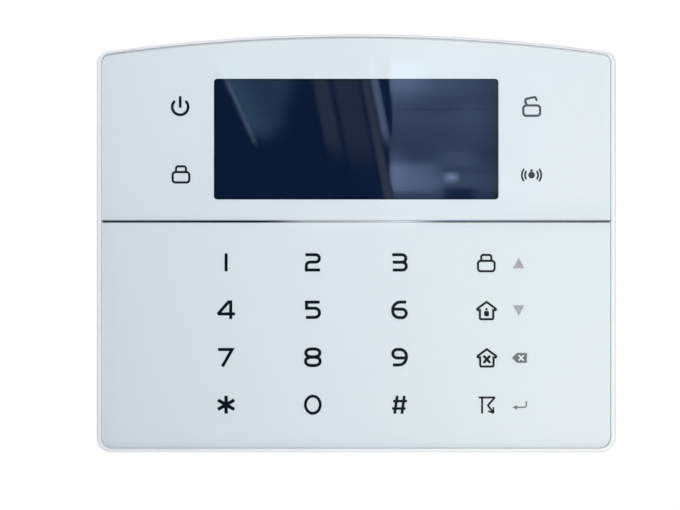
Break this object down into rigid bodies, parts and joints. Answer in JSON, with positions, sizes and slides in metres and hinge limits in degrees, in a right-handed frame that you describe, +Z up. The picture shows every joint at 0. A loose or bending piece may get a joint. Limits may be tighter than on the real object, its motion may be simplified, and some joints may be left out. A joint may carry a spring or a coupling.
{
  "type": "alarm keypad panel",
  "caption": "Wall-hung white alarm keypad with a flat touch face, printed key marks, a dark display window, a thin mirror strip and a lift-off wall bracket.",
  "frame": {"origin": "middle of the wall bracket's back face, on the wall plane, at mid-height of the panel", "axes": "+Y into the wall, out of the bracket's back face; +Z up; +X to the right as seen from the front, along the panel's width"},
  "size_m": [0.1903, 0.025, 0.153],
  "materials": {
    "bracket_plastic": "moulded plastic, fine grain",
    "case_front": "white moulded plastic, satin to semi-gloss",
    "case_rear": "white moulded plastic, fine spark texture",
    "lens": "clear hard-coated touch face, high gloss",
    "print_film": "white print with dark key marks",
    "mirror_strip": "polished foil strip",
    "adhesive": "foam adhesive tape",
    "display_glass": "dark blue display glass, switched off",
    "light_guide": "clear light guide with white reflector",
    "bright_steel": "tinned sheet steel",
    "screw_steel": "zinc-plated steel",
    "flex": "amber polyimide film",
    "green_board": "green solder mask",
    "white_board": "white solder mask",
    "blue_board": "blue solder mask",
    "black_plastic": "black moulded plastic",
    "white_plastic": "white nylon",
    "red_plastic": "red acetal",
    "red_lead": "red insulated lead",
    "sleeve": "printed-free sleeve of an electrolytic can",
    "light_body": "light-emitting diode, switched off",
    "spring_brass": "plated spring wire",
    "cone": "pressed paper cone",
    "battery_wrap": "shrink-wrapped cells",
    "label": "blank label"
  },
  "bodies": {
    "bracket": {"wall_bracket": "bracket_plastic"},
    "panel": {"front_housing": "case_front", "rear_cover": "case_rear", "front_lens": "lens", "graphic_film": "print_film", "mirror_strip": "mirror_strip", "lens_adhesive": "adhesive", "display_glass": "display_glass", "display_backlight": "light_guide", "display_frame": "bright_steel", "display_flex": "flex", "main_board": "green_board", "touch_board": "white_board", "board_connector": "black_plastic", "main_chip": "black_plastic", "touch_chip": "black_plastic", "capacitor": "sleeve", "status_light_1": "light_body", "status_light_2": "light_body", "status_light_3": "light_body", "status_light_4": "light_body", "radio_module": "blue_board", "radio_shield": "bright_steel", "radio_antenna": "spring_brass", "speaker_frame": "black_plastic", "speaker_cone": "cone", "speaker_magnet": "bright_steel", "backup_battery": "battery_wrap", "battery_lead": "red_lead", "battery_plug": "white_plastic", "power_jack": "black_plastic", "switch_housing": "bright_steel", "tamper_switch": "black_plastic", "tamper_spring": "bright_steel", "blank_label": "label", "case_screw_1": "screw_steel", "board_screw_1": "screw_steel", "case_screw_2": "screw_steel", "board_screw_2": "screw_steel", "case_screw_3": "screw_steel", "board_screw_3": "screw_steel", "case_screw_4": "screw_steel", "board_screw_4": "screw_steel"},
    "plunger": {"tamper_plunger": "red_plastic"},
    "slider": {"switch_slider": "black_plastic"}
  },
  "joints": [
    {"name": "panel_lift", "type": "slide", "parent": "bracket", "child": "panel", "axis": [0, 0, 1], "range_m": [0, 0.01]},
    {"name": "tamper_slide", "type": "slide", "parent": "panel", "child": "plunger", "axis": [0, 1, 0], "range_m": [0, 0.0015]},
    {"name": "power_slide", "type": "slide", "parent": "panel", "child": "slider", "axis": [0, 0, 1], "range_m": [0, 0.003]}
  ],
  "couplings": [
    {"joint": "tamper_slide", "follows": "panel_lift", "ratio": 0.15}
  ]
}
